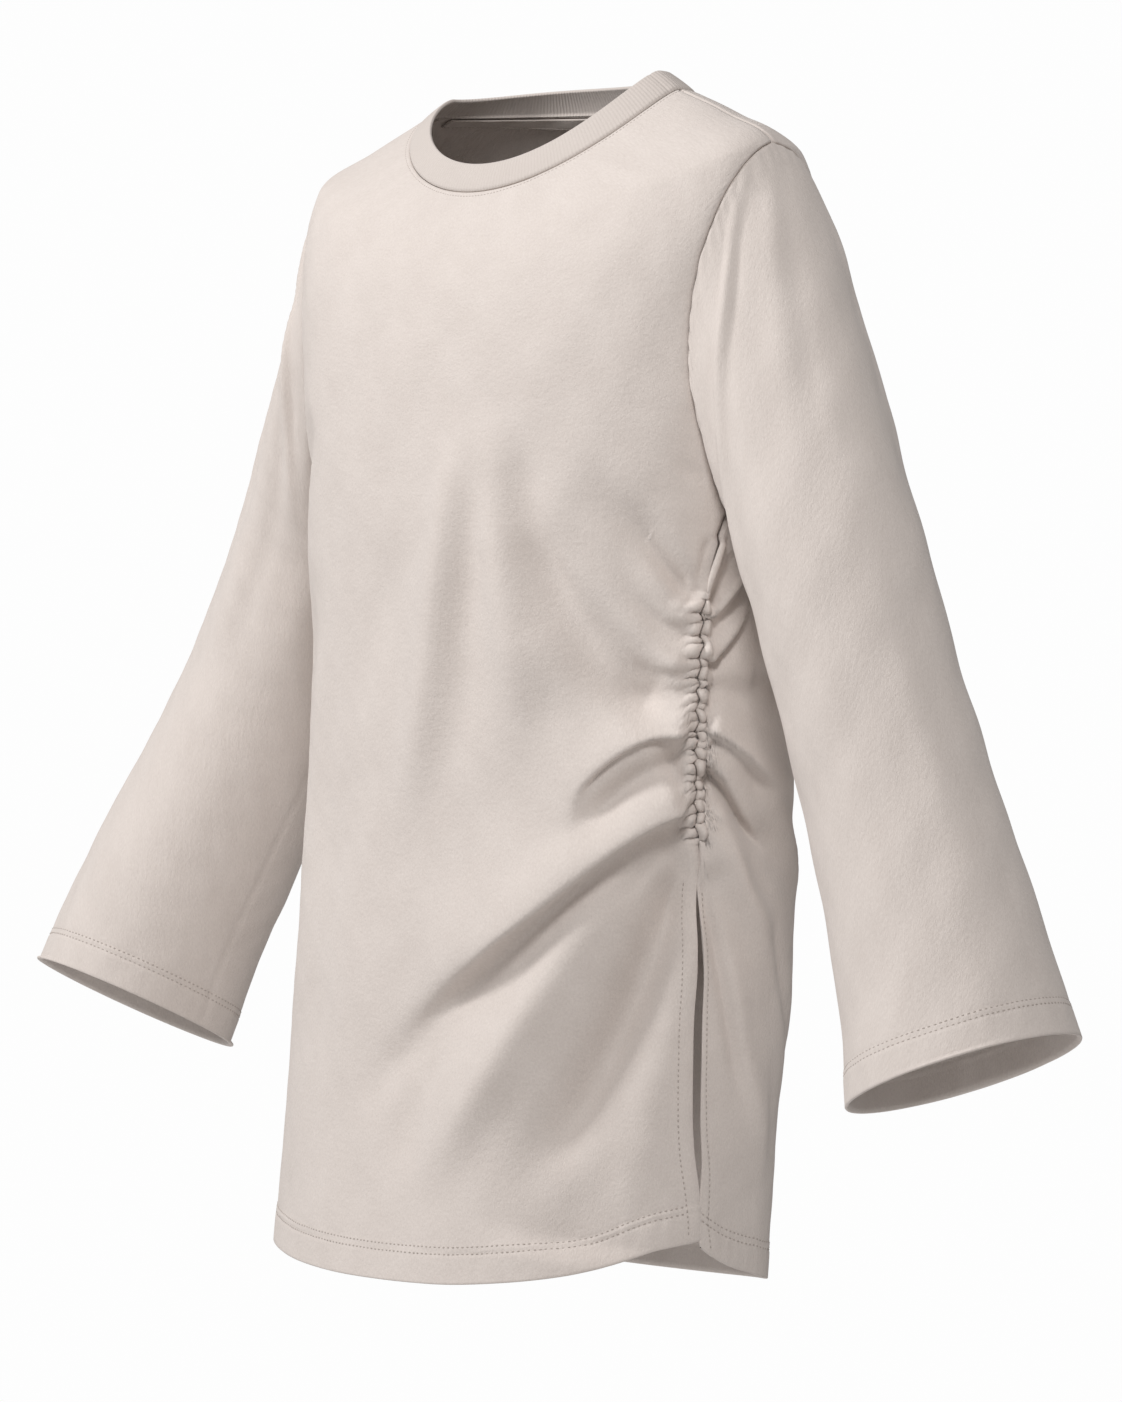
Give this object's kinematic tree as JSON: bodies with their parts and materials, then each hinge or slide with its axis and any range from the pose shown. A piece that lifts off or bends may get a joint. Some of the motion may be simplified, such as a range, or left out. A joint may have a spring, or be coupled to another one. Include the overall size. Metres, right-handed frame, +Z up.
{
  "type": "sweatshirt",
  "caption": "Long loose crew-neck sweatshirt with wide bell sleeves and a gathered side seam above a hem slit, held in its worn shape.",
  "frame": {"origin": "middle of the neck at the height of the neck ends of the shoulder seams, where the garment hangs on its wearer's shoulders", "axes": "+Z up, the front faces -Y, +X is the wearer's left (the gathered side)"},
  "size_m": [0.9019, 0.2547, 0.7881],
  "materials": {
    "jersey": "matte brushed knit",
    "rib": "matte fine rib knit",
    "tape": "matte woven tape"
  },
  "bodies": {
    "root": {"front": "jersey", "back": "jersey", "sleeve_left": "jersey", "sleeve_right": "jersey", "neckband": "rib", "neck_tape": "tape"}
  },
  "joints": []
}
